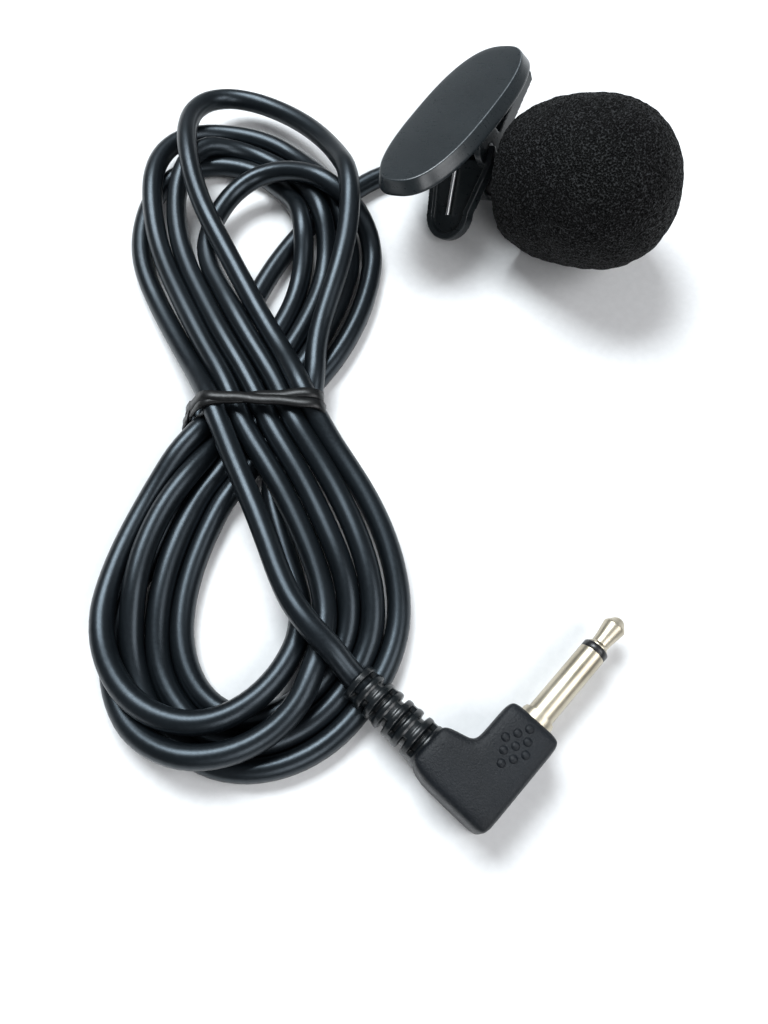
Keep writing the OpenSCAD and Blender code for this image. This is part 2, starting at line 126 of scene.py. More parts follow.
# ---------------------------------------------------------------- node materials
class Paint:
    """A small helper that builds one procedural material."""

    def __init__(self, name):
        self.mat = bpy.data.materials.new(name)
        self.mat.use_nodes = True
        self.tree = self.mat.node_tree
        self.tree.nodes.clear()
        out = self.add("ShaderNodeOutputMaterial")
        self.bsdf = self.add("ShaderNodeBsdfPrincipled")
        self.link(self.bsdf.outputs[0], out.inputs[0])
        self.coords = self.add("ShaderNodeTexCoord").outputs["Object"]

    def add(self, kind, **values):
        n = self.tree.nodes.new(kind)
        for k, v in values.items():
            setattr(n, k, v)
        return n

    def link(self, a, b):
        self.tree.links.new(a, b)

    def scaled(self, sizes):
        n = self.add("ShaderNodeMapping")
        n.inputs["Scale"].default_value = sizes
        self.link(self.coords, n.inputs[0])
        return n.outputs[0]

    def noise(self, scale, detail=4, rough=0.55, vector=None):
        n = self.add("ShaderNodeTexNoise")
        n.inputs["Scale"].default_value = scale
        n.inputs["Detail"].default_value = detail
        n.inputs["Roughness"].default_value = rough
        self.link(vector or self.coords, n.inputs["Vector"])
        return n.outputs[0]

    def cells(self, scale):
        n = self.add("ShaderNodeTexVoronoi", feature="F1")
        n.inputs["Scale"].default_value = scale
        self.link(self.coords, n.inputs["Vector"])
        return n.outputs["Distance"]

    def remap(self, value, span, onto):
        n = self.add("ShaderNodeMapRange")
        for i, v in enumerate((*span, *onto)):
            n.inputs[i + 1].default_value = v
        self.link(value, n.inputs[0])
        return n.outputs[0]

    def maths(self, kind, a, b):
        n = self.add("ShaderNodeMath", operation=kind)
        for i, v in enumerate((a, b)):
            if isinstance(v, (int, float)):
                n.inputs[i].default_value = v
            else:
                self.link(v, n.inputs[i])
        return n.outputs[0]

    def blend(self, a, share_a, b, share_b):
        return self.maths("ADD", self.maths("MULTIPLY", a, share_a), self.maths("MULTIPLY", b, share_b))

    def over(self, below, mask, colour):
        """A plain colour laid over another one where the mask says so."""
        n = self.add("ShaderNodeMix", data_type="RGBA")
        self.link(mask, n.inputs["Factor"])
        self.link(below, n.inputs[6])
        n.inputs[7].default_value = (*colour, 1)
        return n.outputs[2]

    def ramp(self, value, *stops):
        n = self.add("ShaderNodeValToRGB")
        els = n.color_ramp.elements
        while len(els) < len(stops):
            els.new(0.5)
        for e, (at, colour) in zip(els, stops):
            e.position = at
            e.color = (*colour, 1)
        self.link(value, n.inputs[0])
        return n.outputs[0]

    def bump(self, height, strength, distance, below=None):
        n = self.add("ShaderNodeBump")
        n.inputs["Strength"].default_value = strength
        n.inputs["Distance"].default_value = distance
        self.link(height, n.inputs["Height"])
        if below is not None:
            self.link(below, n.inputs["Normal"])
        return n.outputs[0]

    def finish(self, colour, rough, normal, **sockets):
        self.link(colour, self.bsdf.inputs["Base Color"])
        self.link(rough, self.bsdf.inputs["Roughness"])
        self.link(normal, self.bsdf.inputs["Normal"])
        for k, v in sockets.items():
            self.bsdf.inputs[k.replace("_", " ")].default_value = v
        return self.mat


def moulded(name, dark, light, gloss, grain, grain_height, wear=None, **sockets):
    """Moulded plastic: fine grain, slow colour drift, long scuffs, and a paler painted highlight along a
    marked edge if asked for.
    """
    m = Paint(name)
    drift = m.noise(90, detail=3)
    fine = m.noise(grain, detail=5, rough=0.6)
    scuffs = m.noise(1, detail=4, rough=0.7, vector=m.scaled((260, 2600, 900)))
    colour = m.ramp(m.blend(drift, 0.6, fine, 0.4), (0.3, dark), (0.72, light))
    # A paler colour laid in flecks along the marked edge: a painted highlight for the glint along it
    if wear:
        edge = m.add("ShaderNodeAttribute", attribute_name="edge").outputs["Fac"]
        flecks = m.remap(m.noise(5200, detail=3, rough=0.7), (0.38, 0.58), (0.15, 1))
        colour = m.over(colour, m.maths("MULTIPLY", edge, flecks), wear)
    rough = m.remap(m.blend(scuffs, 0.6, fine, 0.4), (0.3, 0.7), gloss)
    normal = m.bump(scuffs, 0.12, 0.00002, below=m.bump(fine, 0.5, grain_height))
    return m.finish(colour, rough, normal, **sockets)


def metal(name, dark, light, gloss, streaks=3000):
    """Plated or drawn metal: fine streaks in its colour and its gloss."""
    m = Paint(name)
    streak = m.noise(1, detail=5, rough=0.65, vector=m.scaled((streaks, streaks, streaks)))
    drift = m.noise(160, detail=3)
    colour = m.ramp(m.blend(streak, 0.5, drift, 0.5), (0.32, dark), (0.68, light))
    rough = m.remap(streak, (0.3, 0.7), gloss)
    return m.finish(colour, rough, m.bump(streak, 0.25, 0.000012), Metallic=1.0)


def cord_material():
    """Black PVC with a cool sheen, slow waves in its skin and a few specks of dust."""
    m = Paint("cord_pvc")
    drift = m.noise(70, detail=3)
    fine = m.noise(2600, detail=4, rough=0.6)
    speck = m.remap(m.cells(900), (0.0, 0.055), (1, 0))
    colour = m.ramp(
        m.blend(drift, 0.7, fine, 0.3),
        (0.3, (0.0018, 0.0025, 0.0032)),
        (0.7, (0.0042, 0.0058, 0.0074)),
    )
    dusty = m.maths("MULTIPLY", speck, m.remap(drift, (0.5, 0.7), (0, 0.5)))
    colour = m.over(colour, dusty, (0.10, 0.10, 0.10))
    rough = m.remap(m.blend(drift, 0.5, fine, 0.5), (0.35, 0.65), (0.29, 0.40))
    normal = m.bump(fine, 0.25, 0.00002, below=m.bump(m.noise(500, detail=2), 0.15, 0.00008))
    return m.finish(colour, rough, normal, IOR=1.5, Specular_Tint=(0.74, 0.88, 1.0, 1))


def foam_material():
    """Matt black foam: pores painted dark as shade in their hollows, between paler webs."""
    m = Paint("windscreen_foam")
    pore = m.cells(3800)
    grit = m.noise(7000, detail=3, rough=0.7)
    drift = m.noise(220, detail=3)
    # Darker at the pores' centres: painted shade in the pores' hollows
    colour = m.ramp(
        m.blend(pore, 0.7, grit, 0.5),
        (0.42, (0.0004, 0.0004, 0.0004)),
        (0.64, (0.0012, 0.0013, 0.0013)),
        (0.82, (0.030, 0.031, 0.032)),
    )
    rough = m.remap(m.maths("ADD", grit, m.maths("MULTIPLY", drift, 0.2)), (0.45, 0.75), (0.9, 0.5))
    normal = m.bump(pore, 0.9, 0.0003, below=m.bump(grit, 0.6, 0.0001))
    return m.finish(colour, rough, normal, Specular_IOR_Level=0.1)


# Slot: darker colour, lighter colour, roughness from and to, grain scale, grain height in metres, extras
MOULDED = {
    "mic_shell": ((0.012, 0.012, 0.013), (0.022, 0.022, 0.024), (0.35, 0.5), 2400, 0.00002, {}),
    "relief_rubber": ((0.010, 0.010, 0.011), (0.018, 0.018, 0.019), (0.45, 0.6), 2400, 0.00003, {}),
    # The clip's extra colour is a paler painted highlight for the plate's crisp edge
    "clip_plastic": ((0.010, 0.0135, 0.0155), (0.019, 0.024, 0.027), (0.24, 0.36), 2600, 0.000016,
                     {"wear": (0.20, 0.22, 0.235)}),
    "tie_plastic": ((0.003, 0.0032, 0.0035), (0.007, 0.0075, 0.008), (0.3, 0.46), 1800, 0.00004,
                    {"Specular_IOR_Level": 0.36}),
    "boot_pvc": ((0.0025, 0.004, 0.005), (0.006, 0.0085, 0.0105), (0.24, 0.36), 1800, 0.00003, {}),
    "plug_moulding": ((0.002, 0.003, 0.0045), (0.008, 0.0105, 0.014), (0.36, 0.54), 4200, 0.00018,
                      {"Specular_IOR_Level": 0.26}),
    "capsule_rubber": ((0.04, 0.04, 0.042), (0.06, 0.06, 0.062), (0.6, 0.75), 1800, 0.00003, {}),
    "board_green": ((0.03, 0.14, 0.05), (0.06, 0.22, 0.09), (0.35, 0.5), 1500, 0.00001, {}),
    "lead_insulation": ((0.32, 0.03, 0.02), (0.45, 0.06, 0.045), (0.35, 0.5), 1500, 0.00001, {}),
    "plug_insulator": ((0.008, 0.008, 0.009), (0.016, 0.016, 0.017), (0.25, 0.4), 2000, 0.00001, {}),
    "liner_plastic": ((0.66, 0.63, 0.56), (0.78, 0.75, 0.67), (0.35, 0.5), 1500, 0.00001, {}),
}
MATS = {slot: moulded(slot, *values, **extras) for slot, (*values, extras) in MOULDED.items()}
MATS["windscreen_foam"] = foam_material()
MATS["cord_pvc"] = cord_material()
MATS["plug_metal"] = metal("plug_metal", (0.40, 0.355, 0.27), (0.64, 0.585, 0.47), (0.32, 0.42), streaks=150)
MATS["pin_steel"] = metal("pin_steel", (0.35, 0.36, 0.37), (0.6, 0.61, 0.62), (0.25, 0.4))
MATS["spring_wire"] = metal("spring_wire", (0.70, 0.71, 0.72), (0.90, 0.90, 0.91), (0.3, 0.42), streaks=300)
MATS["grille_mesh"] = metal("grille_mesh", (0.3, 0.31, 0.32), (0.5, 0.51, 0.52), (0.3, 0.45))
MATS["capsule_metal"] = metal("capsule_metal", (0.5, 0.51, 0.52), (0.7, 0.71, 0.72), (0.3, 0.45))
for part in frame["record"]["subparts"]:
    node = NODES[part["node"]]
    node.data.materials.clear()
    node.data.materials.append(MATS[part["material_slot"]])


# ---------------------------------------------------------------- helpers for meshes and lines
def dress(ob, slot, body, *replaced):
    """The finish, the slot and the body of a new piece, and the CAD nodes that it stands for."""
    ob.data.materials.clear()
    ob.data.materials.append(MATS[slot])
    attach(ob, body)
    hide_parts(*replaced)
    return ob


def linked(name, data):
    """A new object in the scene."""
    ob = bpy.data.objects.new(name, data)
    scene.collection.objects.link(ob)
    return ob


def mesh_object(name, points, faces):
    """A mesh from points in mm, in the part's frame."""
    data = bpy.data.meshes.new(name)
    data.from_pydata([tuple(p) for p in np.asarray(points, float) * MM], [], [tuple(f) for f in faces])
    data.validate()
    data.update()
    data.shade_smooth()
    return linked(name, data)


def circle(count):
    """Angles spaced evenly round a circle."""
    return np.linspace(0, 2 * math.pi, count, endpoint=False)


def ring_faces(rings, count, closed=False):
    """The quads between rings of as many points each; closed joins the last ring to the first."""
    faces = []
    for i in range(rings if closed else rings - 1):
        a, b = i * count, (i + 1) % rings * count
        faces += [(a + k, a + (k + 1) % count, b + (k + 1) % count, b + k) for k in range(count)]
    return faces


def distances(line):
    """How far along a line each of its points lies."""
    return np.concatenate([[0], np.cumsum(np.linalg.norm(np.diff(line, axis=0), axis=1))])


def spaced(line, count, closed=False):
    """Points spaced evenly along a line."""
    gone = distances(line)
    at = np.linspace(0, gone[-1], count, endpoint=not closed)
    return np.column_stack([np.interp(at, gone, line[:, k]) for k in range(line.shape[1])])


# ---------------------------------------------------------------- cord: its strands, in the hank's frame (mm)
ROWS = (27, 20, 12, 3, -3, -12, -20, -27)
OVER_Z = (4.4, 4.8, 5.2, 5.7, 5.7, 5.2, 4.8, 4.4)
UNDER_Z = (1.6, 1.6, 1.8, 2.0, 2.0, 1.8, 1.6, 1.6)
# Each strand through the waist: its place across at each row, and its height
WAIST = {
    "P": ((-20.8, -17.8, -13.6, -8.6, -6.0, -2.0, 1.6, 4.4), (1.6, 2.2, 3.6, 5.0, 6.2, 7.2, 7.6, 7.6)),
    "A": ((-17.2, -13.9, -10.0, -5.3, -2.8, 2.7, 6.7, 9.3), OVER_Z),
    "B": ((-13.8, -10.6, -6.6, -1.6, 1.2, 6.4, 10.2, 12.7), OVER_Z),
    "C": ((-10.4, -7.2, -3.2, 2.2, 4.8, 10.2, 13.9, 15.9), OVER_Z),
    "D": ((-7.2, -3.6, 0.6, 5.6, 8.0, 14.0, 17.8, 19.4), (7.2, 6.4, 6.0, 5.7, 5.4, 4.4, 3.4, 3.0)),
    "X": ((11.8, 10.3, 8.0, 6.6, 3.2, 1.8, 3.6, 5.8), (8.6, 7.6, 5.8, 3.8, 3.0, 2.0, 1.8, 2.2)),
    "a": ((0.4, -2.6, -5.4, -8.0, -9.0, -10.6, -13.0, -15.8), UNDER_Z),
    "b": ((4.8, 3.6, 0.4, -4.4, -7.4, -13.4, -16.8, -18.4), (3.0, 1.9, 1.8, 2.0, 2.4, 3.6, 4.2, 4.4)),
    "c": ((8.4, 7.0, 3.8, -1.2, -4.6, -10.2, -13.4, -15.0), (2.6, 1.8, 1.8, 2.0, 2.4, 3.4, 4.0, 4.2)),
    "d": ((12.2, 10.6, 7.4, 2.0, -1.4, -7.4, -10.2, -11.6), (1.6, 1.6, 1.8, 2.0, 2.0, 2.6, 3.2, 3.6)),
    "e": ((15.6, 14.6, 11.6, 6.4, 3.0, -3.8, -7.2, -8.8), (1.6, 1.6, 1.8, 2.0, 2.0, 2.0, 2.0, 2.0)),
}
# The turns of the lower lobe, each named by the strand at its first point
LOWER = {
    "a": [(-17.8, -33, 1.6), (-17.0, -39, 1.8), (-13.6, -44.6, 3.0), (-8.6, -48.4, 4.2), (-3.2, -48.9, 4.5),
          (3.2, -46.6, 4.5), (8.0, -41.2, 4.4), (10.3, -34.6, 4.4)],
    "D": [(19.4, -33, 2.0), (16.4, -39.6, 1.6), (12.3, -45.4, 1.6), (6.4, -49.2, 1.6), (0, -50.2, 1.6),
          (-6, -48.2, 1.6), (-11.6, -43.4, 1.8), (-14.8, -36, 3.2)],
    "C": [(15.8, -34, 2.6), (12.6, -40.8, 1.8), (7, -45.4, 1.6), (0.6, -47.3, 1.6), (-5.6, -45.4, 1.6),
          (-10, -40.6, 1.8), (-11.8, -34, 2.8)],
    "B": [(12.6, -34, 2.0), (8.8, -40, 1.6), (4.0, -43.2, 1.6), (-0.8, -44.2, 1.6), (-5.2, -42, 1.6),
          (-8, -37.6, 1.6), (-9.0, -32, 1.8)],
    "X": [(6.9, -32, 3.2), (5.0, -37.6, 4.4), (1.4, -42.4, 4.6), (-3.4, -44.8, 4.6), (-8.8, -44.6, 4.6),
          (-14.2, -41.6, 4.6), (-17.4, -36.6, 4.6), (-18.5, -31.8, 4.5)],
}
# The turns of the upper lobe, named the same way; X is the loose turn that stands out
UPPER = {
    "c": [(8.2, 33, 4.4), (6.4, 38.4, 4.7), (2.8, 44.4, 3.0), (-2.0, 48.8, 1.8), (-8.0, 50.4, 2.6),
          (-13.2, 48.4, 4.2), (-15.9, 42.3, 4.8), (-15.6, 34, 4.8)],
    "e": [(15.8, 30, 2.8), (14.2, 33.8, 4.4), (11.0, 37.4, 6.4), (7.1, 39.8, 7.2), (3.4, 41.9, 6.8),
          (-0.6, 42.8, 6.0), (-4.6, 41.8, 5.2), (-7.6, 38.2, 4.8), (-9.8, 33.2, 4.6)],
    "d": [(11.6, 33, 3.4), (9.6, 38.4, 4.7), (5.6, 46.0, 3.0), (0.4, 51.4, 1.8), (-5.6, 54.2, 1.8),
          (-12.6, 54.6, 3.0), (-17.6, 51.4, 4.4), (-19.8, 46.0, 4.8), (-20.0, 40, 4.8), (-19.0, 33, 4.8)],
    "b": [(4.6, 33, 4.7), (3.4, 37.6, 3.6), (-0.2, 43.6, 2.0), (-5.6, 47.0, 1.6), (-11.6, 48.0, 1.6),
          (-17.4, 45.6, 1.6), (-20.8, 40, 1.6), (-21.6, 33, 1.6)],
    "X": [(12.3, 31, 9.2), (12.1, 36, 9.6), (11.1, 41.4, 9.0), (9.2, 46.4, 7.6), (6.0, 52, 6.0),
          (1.2, 56.9, 5.0), (-4.4, 60.1, 4.6), (-9.6, 60.7, 5.0), (-13.2, 58, 6.4), (-14.7, 52.4, 7.6),
          (-14.1, 45.6, 8.0), (-12.6, 39.1, 8.0), (-10.0, 32.4, 7.8)],
}
# The winding order, and whether each strand or turn is followed as it is listed
WINDING = [
    (WAIST, "a", True), (LOWER, "a", True), (WAIST, "A", False), (UPPER, "d", False), (WAIST, "d", True),
    (LOWER, "C", False), (WAIST, "C", False), (UPPER, "e", False), (WAIST, "e", True), (LOWER, "B", False),
    (WAIST, "B", False), (UPPER, "c", False), (WAIST, "c", True), (LOWER, "D", False), (WAIST, "D", False),
    (UPPER, "X", False), (WAIST, "X", True), (LOWER, "X", True), (WAIST, "b", False), (UPPER, "b", True),
    (WAIST, "P", True),
]
INTO_HANK = [(12.4, 42.2, 1.6), (8.4, 38.6, 1.6), (4.0, 32.8, 1.6)]
INTO_BOOT = [(6.7, -31.6, 7.6), (9.6, -35.0, 6.8), (12.2, -37.7, 5.4), (14.3, -39.7, 4.4),
             (16.0, -41.3, 4.05), (17.8, -43.0, 4.0)]
# The route from the strain relief to the hank, in the part's frame, as in part.scad
LEAD = [(-16.2, 0, 2.25), (-17.3, 0, 1.83), (-19, -0.2, 1.65), (-20.6, -0.9, 1.6), (-22, -2.2, 1.6),
        (-23.2, -3.9, 1.6), (-24.4, -5.8, 1.6), (-25.6, -7.8, 1.6)]

# How the cord settles: its points are a step apart, and each round takes away a share of each error
STEP, ROUNDS, NEAR, LOOK_AGAIN = 2.0, 500, 1.6, 8
KEEP_PLACE, KEEP_HEIGHT, SAG = 0.045, 0.3 * 0.045, 0.012
STIFFNESS, PUSH, KEEP_LENGTH = 0.12, 0.3, 0.25
# Points at the strain relief and in the boot that stay where they are drawn
HELD_FIRST, HELD_LAST = 9, 4


def drawn_route():
    """The whole cord as drawn, in the part's frame: lead, hank, and the end in the boot."""
    points = list(INTO_HANK)
    for table, name, as_listed in WINDING:
        stretch = table[name]
        if table is WAIST:
            stretch = list(zip(stretch[0], ROWS, stretch[1]))
        points += stretch if as_listed else stretch[::-1]
    return np.vstack([np.array(LEAD), on_hank(points + INTO_BOOT)])


def smooth_line(points):
    """A Catmull-Rom line through the points, with its own points a step apart."""
    p = np.vstack([2 * points[0] - points[1], points, 2 * points[-1] - points[-2]])
    parts = []
    for i in range(1, len(p) - 2):
        a, b, c, d = p[i - 1 : i + 3]
        t = np.linspace(0, 1, max(2, int(np.linalg.norm(c - b) / 0.25)), endpoint=False)[:, None]
        bend, twist = 2 * a - 5 * b + 4 * c - d, 3 * b - a - 3 * c + d
        parts.append(0.5 * (2 * b + (c - a) * t + bend * t**2 + twist * t**3))
    line = np.vstack(parts + [p[-2:-1]])
    return spaced(line, int(distances(line)[-1] / STEP) + 1)


def settle(x):
    """The strands push each other a diameter apart, sag onto the table, and keep their bend and length."""
    start = x.copy()
    neighbours = int(math.ceil(2.2 * CORD_D / STEP))
    for turn in range(ROUNDS):
        if turn % LOOK_AGAIN == 0:
            gap = ((x[:, None] - x[None]) ** 2).sum(2)
            i, j = np.nonzero(gap < (CORD_D + NEAR) ** 2)
            far = j - i > neighbours
            i, j = i[far], j[far]
        x[:, :2] += KEEP_PLACE * (start[:, :2] - x[:, :2])
        x[:, 2] += KEEP_HEIGHT * (start[:, 2] - x[:, 2]) - SAG
        x[2:-2] -= STIFFNESS * (x[:-4] - 4 * x[1:-3] + 6 * x[2:-2] - 4 * x[3:-1] + x[4:])
        for _ in range(3):
            apart = x[i] - x[j]
            r = np.linalg.norm(apart, axis=1) + 1e-9
            push = (PUSH * np.clip(CORD_D - r, 0, None) / r)[:, None] * apart
            np.add.at(x, i, push)
            np.add.at(x, j, -push)
        x[:, 2] = np.maximum(x[:, 2], CORD_D / 2)
        seg = np.diff(x, axis=0)
        size = np.linalg.norm(seg, axis=1)[:, None]
        pull_in = KEEP_LENGTH * (size - STEP) / size * seg
        x[:-1] += pull_in
        x[1:] -= pull_in
        x[:HELD_FIRST], x[-HELD_LAST:] = start[:HELD_FIRST], start[-HELD_LAST:]
    return x


def cord_piece(line):
    """The cord as one smooth bevelled curve through every second point of its line."""
    curve = bpy.data.curves.new("cord", "CURVE")
    curve.dimensions = "3D"
    curve.bevel_depth = CORD_D / 2 * MM
    curve.bevel_resolution = 6
    curve.resolution_u = 3
    curve.use_fill_caps = True
    knots = line[::2] if (len(line) - 1) % 2 == 0 else np.vstack([line[::2], line[-1:]])
    spline = curve.splines.new("BEZIER")
    spline.bezier_points.add(len(knots) - 1)
    for point, at, way in zip(spline.bezier_points, knots, np.gradient(knots, axis=0)):
        point.handle_left_type = point.handle_right_type = "FREE"
        point.co = Vector(at) * MM
        point.handle_left = Vector(at - way / 3) * MM
        point.handle_right = Vector(at + way / 3) * MM
    return linked("cord", curve)


cord_line = settle(smooth_line(drawn_route()))
cord = cord_piece(cord_line)
dress(cord, "cord_pvc", "microphone", "mic_cable", "cable_hank")

# ---------------------------------------------------------------- twist tie round the waist
WAIST_HALF = 14
TIE_CLEARANCE = 0.28
TIE_LOWEST = 0.25
TIE_WAVE = 0.10
# Each wrap: where it crosses, how far it leans, and how far it lies over the one below
TIE_WRAPS = ((-1.1, 0.9, 0.0), (-1.5, -0.8, 0.14))
# The tie's cross-section: half its width and half its thickness, hollow along the middle
TIE_W, TIE_T = 0.8, 0.22
TIE_SECTION = [(-TIE_W, -TIE_T * 0.6), (-TIE_W * 0.85, TIE_T), (0, TIE_T * 0.75), (TIE_W * 0.85, TIE_T),
               (TIE_W, -TIE_T * 0.6), (0, -TIE_T)]
hank_line = turn_z(cord_line - HANK_AT, -HANK_TURN, np.zeros(3))


def hull_side(points):
    """One side of the convex hull of points that are sorted."""
    out = []
    for p in points:
        while len(out) > 1:
            (ax, az), (bx, bz) = out[-2], out[-1]
            if (bx - ax) * (p[1] - az) > (bz - az) * (p[0] - ax):
                break
            out.pop()
        out.append(p)
    return out[:-1]


def waist_outline(y0, margin):
    """The taut outline round the strands that cross the row y0, as (x, z) points."""
    reach = CORD_D / 2 + margin
    ring = set()
    for p, q in zip(hank_line[:-1], hank_line[1:]):
        if (p[1] - y0) * (q[1] - y0) <= 0 and abs(p[0]) < WAIST_HALF and p[1] != q[1]:
            x, _, z = p + (y0 - p[1]) / (q[1] - p[1]) * (q - p)
            ring |= {(x + reach * math.cos(a), max(TIE_LOWEST, z + reach * math.sin(a))) for a in circle(24)}
    ring = sorted(ring)
    return np.array(hull_side(ring) + hull_side(ring[::-1]))


def tie_wrap(y0, lean, lift, count=72):
    """One wrap of the flat tie: a strip that leans across the waist."""
    hull = waist_outline(y0, TIE_CLEARANCE + lift)
    ring = spaced(np.vstack([hull, hull[:1]]), count, closed=True)
    for _ in range(2):
        ring = 0.5 * ring + 0.25 * (np.roll(ring, 1, 0) + np.roll(ring, -1, 0))
    along = np.roll(ring, -1, 0) - np.roll(ring, 1, 0)
    normal = np.column_stack([along[:, 1], -along[:, 0]])
    normal /= np.linalg.norm(normal, axis=1)[:, None]
    middle = ring.mean(0)
    normal *= np.where(((ring - middle) * normal).sum(1) < 0, -1, 1)[:, None]
    points = []
    for k, (r, n) in enumerate(zip(ring, normal)):
        y = y0 + lean * (r[0] / 10.0) * (1 if r[1] > middle[1] else -1)
        wave = TIE_WAVE * math.sin(9 * 2 * math.pi * k / count) * lean
        points += [(r[0] + n[0] * t, y + wave + w, r[1] + n[1] * t) for w, t in TIE_SECTION]
    return points, ring_faces(count, len(TIE_SECTION), closed=True)


def tie_piece():
    points, faces = [], []
    for wrap in TIE_WRAPS:
        new_points, new_faces = tie_wrap(*wrap)
        faces += [tuple(v + len(points) for v in face) for face in new_faces]
        points += new_points
    return mesh_object("tie_wraps", on_hank(points), faces)


tie = tie_piece()
dress(tie, "tie_plastic", "microphone", "twist_tie")

# ---------------------------------------------------------------- foam windscreen
FOAM_LIP = 0.7
# The bore's mouth: radius and place along the axis
FOAM_MOUTH = [(4.35, FOAM_A + 0.9), (4.35, FOAM_A + 0.2), (4.7, FOAM_A)]
MOUTH_R = FOAM_MOUTH[-1][0]
PORE, PORE_DEPTH, SKIN_DROP = 0.5, 0.3, 0.05
# The ball is a little fuller at the front on one side
FULL_SIDE = Vector((-0.1, -0.55, 0.83)).normalized()
FULLNESS, FULL_FROM = 1.2, 0.4


def foam_radius(a):
    reach = FOAM_BACK if a < BALL_A else FOAM_FRONT
    return FOAM_R * max(0, 1 - (abs(a - BALL_A) / reach) ** FOAM_POWER) ** (1 / FOAM_POWER)


def foam_profile(along):
    """The ball's outline as (radius, place along the axis): mouth, flat back, rounded lip and ball."""
    profile = list(FOAM_MOUTH)
    rim = foam_radius(FOAM_A + FOAM_LIP)
    profile += [(MOUTH_R + (rim - FOAM_LIP - MOUTH_R) * t, FOAM_A) for t in (0.33, 0.66, 1)]
    for t in (0.5, 1.0):
        profile.append((rim - FOAM_LIP * (1 - math.sin(t)), FOAM_A + FOAM_LIP * (1 - math.cos(t))))
    ball = [(foam_radius(a), a) for a in np.linspace(FOAM_A + FOAM_LIP, BALL_A + FOAM_FRONT, 4000)]
    return profile + [tuple(p) for p in spaced(np.array(ball), along)]


def foam_point(base):
    """A point of the smooth ball, moved for its pores, its uneven skin and its fuller side."""
    outward = Vector((base.x, base.y, (base.z - BALL_A) * (0.75 if base.z < BALL_A else 1)))
    if outward.length > 1e-6:
        outward.normalize()
    deep = max(0.0, 1 - noise.voronoi(base / PORE)[0][0] / 0.62)
    swell = noise.noise(base / 2.1) * 0.12 + noise.noise(base / 0.8) * 0.08
    facing = (base - Vector((0, 0, BALL_A))).normalized().dot(FULL_SIDE)
    full = FULLNESS * max(0.0, (facing - FULL_FROM) / (1 - FULL_FROM))
    return base + outward * (swell + full - PORE_DEPTH * deep * deep - SKIN_DROP)


def foam_piece(around, along):
    """The foam ball: a cut-off back with a rounded lip, and open pores all over that are real hollows."""
    rings = foam_profile(along)[:-1]
    points = []
    for r, a in rings:
        points += [foam_point(Vector((r * math.cos(t), r * math.sin(t), a))) for t in circle(around)]
    nose, last = len(points), len(points) - around
    points.append(Vector((0, 0, BALL_A + FOAM_FRONT - SKIN_DROP)))
    faces = ring_faces(len(rings), around)
    faces += [(last + k, last + (k + 1) % around, nose) for k in range(around)]
    return mesh_object("foam_ball", on_mic([tuple(p) for p in points]), faces)


foam = foam_piece(420, 260)
dress(foam, "windscreen_foam", "windscreen", "foam_windscreen")

# ---------------------------------------------------------------- clip, in the hinge pin's frame (mm)
PLATE_HALF_X, PLATE_HALF_Y, PLATE_POWER, PLATE_AROUND = 7.8, 17.5, 2.6, 120
PLATE_TOP, PLATE_UNDER, CROWN = 6.3, 5.0, 0.12
# The plate's crisp edge is this far in from the skirt's outline
CRISP = 1.1
CROWN_RINGS = (0.25, 0.5, 0.75, 0.92)
# From the crisp edge down the drafted skirt, round its rim and up its inside: distance in, and height
SKIRT = ((CRISP, 6.16), (CRISP - 0.12, 6.14), (CRISP - 0.22, 6.08), (CRISP - 0.28, 5.98), (0.62, 5.5),
         (0.4, 5.0), (0.16, 4.45), (0.04, 4.14), (0.06, 4.04), (0.14, 4.0), (0.8, 4.0), (0.94, 4.02),
         (1.0, 4.1), (1.0, 4.7), (1.06, 4.9), (1.25, 5.0))
UNDER_RINGS = (0.8, 0.4)
# The ring of points, counted from the middle of the top, that carries the painted highlight of the crisp edge
GLINT_RING = len(CROWN_RINGS) + 1
# The lugs on the pin: an outline round the pin's axis, and their two sides
LUG_R, LUG_INSIDE, LUG_OUTSIDE = 1.5, 2.8, 3.85
LUG_ROOT = [(2.1, 2.6), (2.6, 4.3), (3.0, 5.05), (-3.0, 5.05), (-2.6, 4.3), (-2.1, 2.6)]
TEETH, TOOTH_Y, TOOTH_PITCH, TOOTH_HALF_X = 5, 9.3, 1.2, 3.6
TOOTH = ((0, 5.05), (0.08, 4.85), (0.5, 4.36), (0.6, 4.3), (0.7, 4.36), (1.12, 4.85), (1.2, 5.05))


def oval(half_x, half_y, count, power):
    out = []
    for t in circle(count):
        c, s = math.cos(t), math.sin(t)
        x = half_x * math.copysign(abs(c) ** (2 / power), c)
        y = half_y * math.copysign(abs(s) ** (2 / power), s)
        out.append((x, y))
    return out


def prism(outline, x0, x1):
    """A flat outline in (y, z), drawn across from x0 to x1."""
    n = len(outline)
    points = [(x, y, z) for x in (x0, x1) for y, z in outline]
    faces = [tuple(reversed(range(n))), tuple(range(n, 2 * n))]
    faces += [(k, (k + 1) % n, n + (k + 1) % n, n + k) for k in range(n)]
    return points, faces


def prism_up(outline, z0, z1):
    """A flat outline in (x, y), drawn up from z0 to z1."""
    points, faces = prism(outline, z0, z1)
    return [(x, y, z) for z, x, y in points], faces


